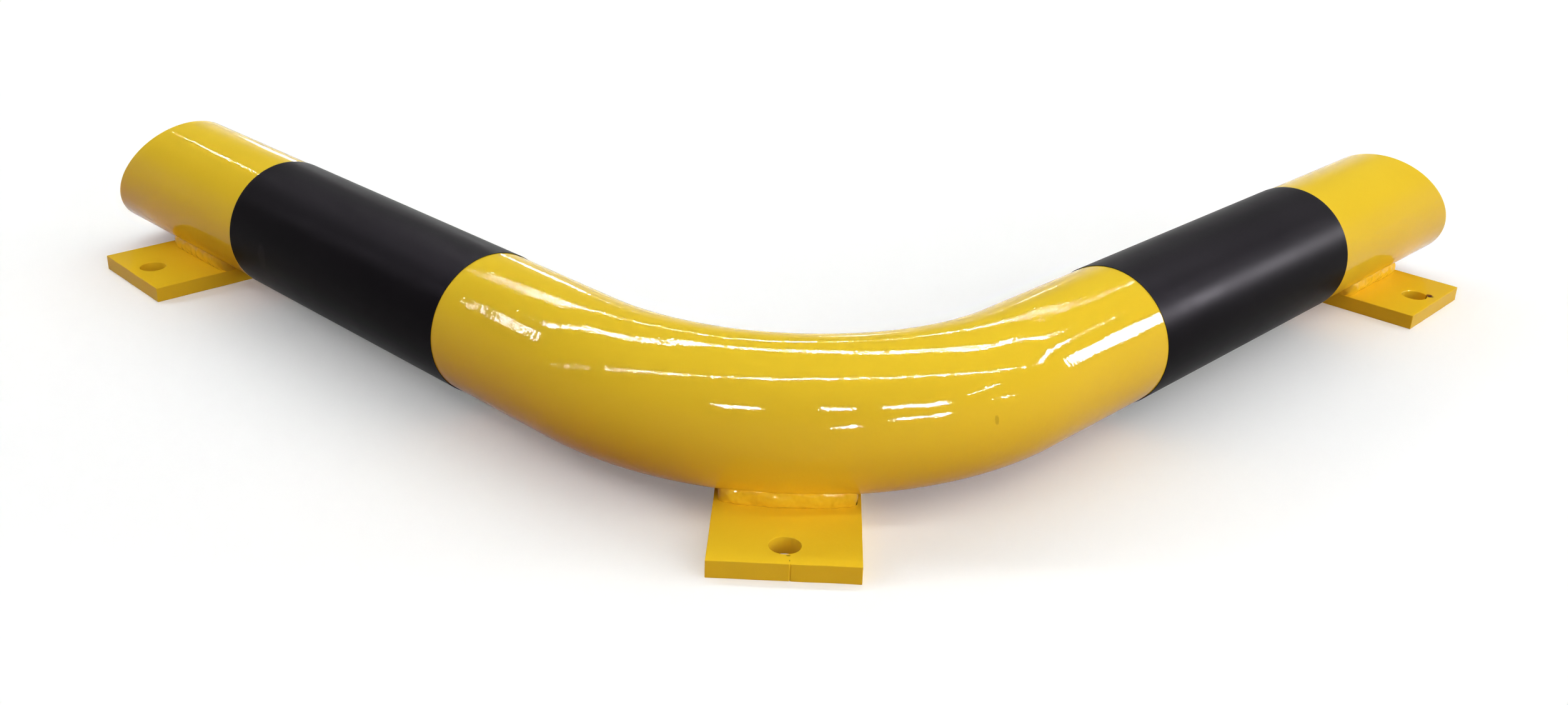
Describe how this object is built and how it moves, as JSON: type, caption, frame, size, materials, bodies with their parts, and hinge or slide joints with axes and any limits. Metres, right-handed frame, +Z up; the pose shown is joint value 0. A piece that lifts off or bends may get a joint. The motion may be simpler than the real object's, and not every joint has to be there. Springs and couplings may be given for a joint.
{
  "type": "corner impact barrier",
  "caption": "Low floor-mounted corner guard: a steel tube bent 90 degrees with bevelled, capped ends and black bands, welded on drilled foot plates.",
  "frame": {"origin": "centre of the corner foot plate's anchor hole, on the floor", "axes": "+Z up from the floor, +X along the leg that is on the right seen from outside the corner, +Y along the other leg"},
  "size_m": [0.6457, 0.6461, 0.0854],
  "materials": {
    "yellow_tube_paint": "gloss",
    "yellow_plate_paint": "gloss",
    "yellow_weld_paint": "gloss",
    "black_film": "satin"
  },
  "bodies": {
    "root": {"bent_tube": "yellow_tube_paint", "left_end_cap": "yellow_plate_paint", "right_end_cap": "yellow_plate_paint", "left_cap_weld": "yellow_weld_paint", "right_cap_weld": "yellow_weld_paint", "corner_plate": "yellow_plate_paint", "left_plate": "yellow_plate_paint", "right_plate": "yellow_plate_paint", "corner_outer_weld": "yellow_weld_paint", "left_outer_weld": "yellow_weld_paint", "right_outer_weld": "yellow_weld_paint", "corner_inner_weld": "yellow_weld_paint", "left_inner_weld": "yellow_weld_paint", "right_inner_weld": "yellow_weld_paint", "left_black_band": "black_film", "right_black_band": "black_film"}
  },
  "joints": []
}
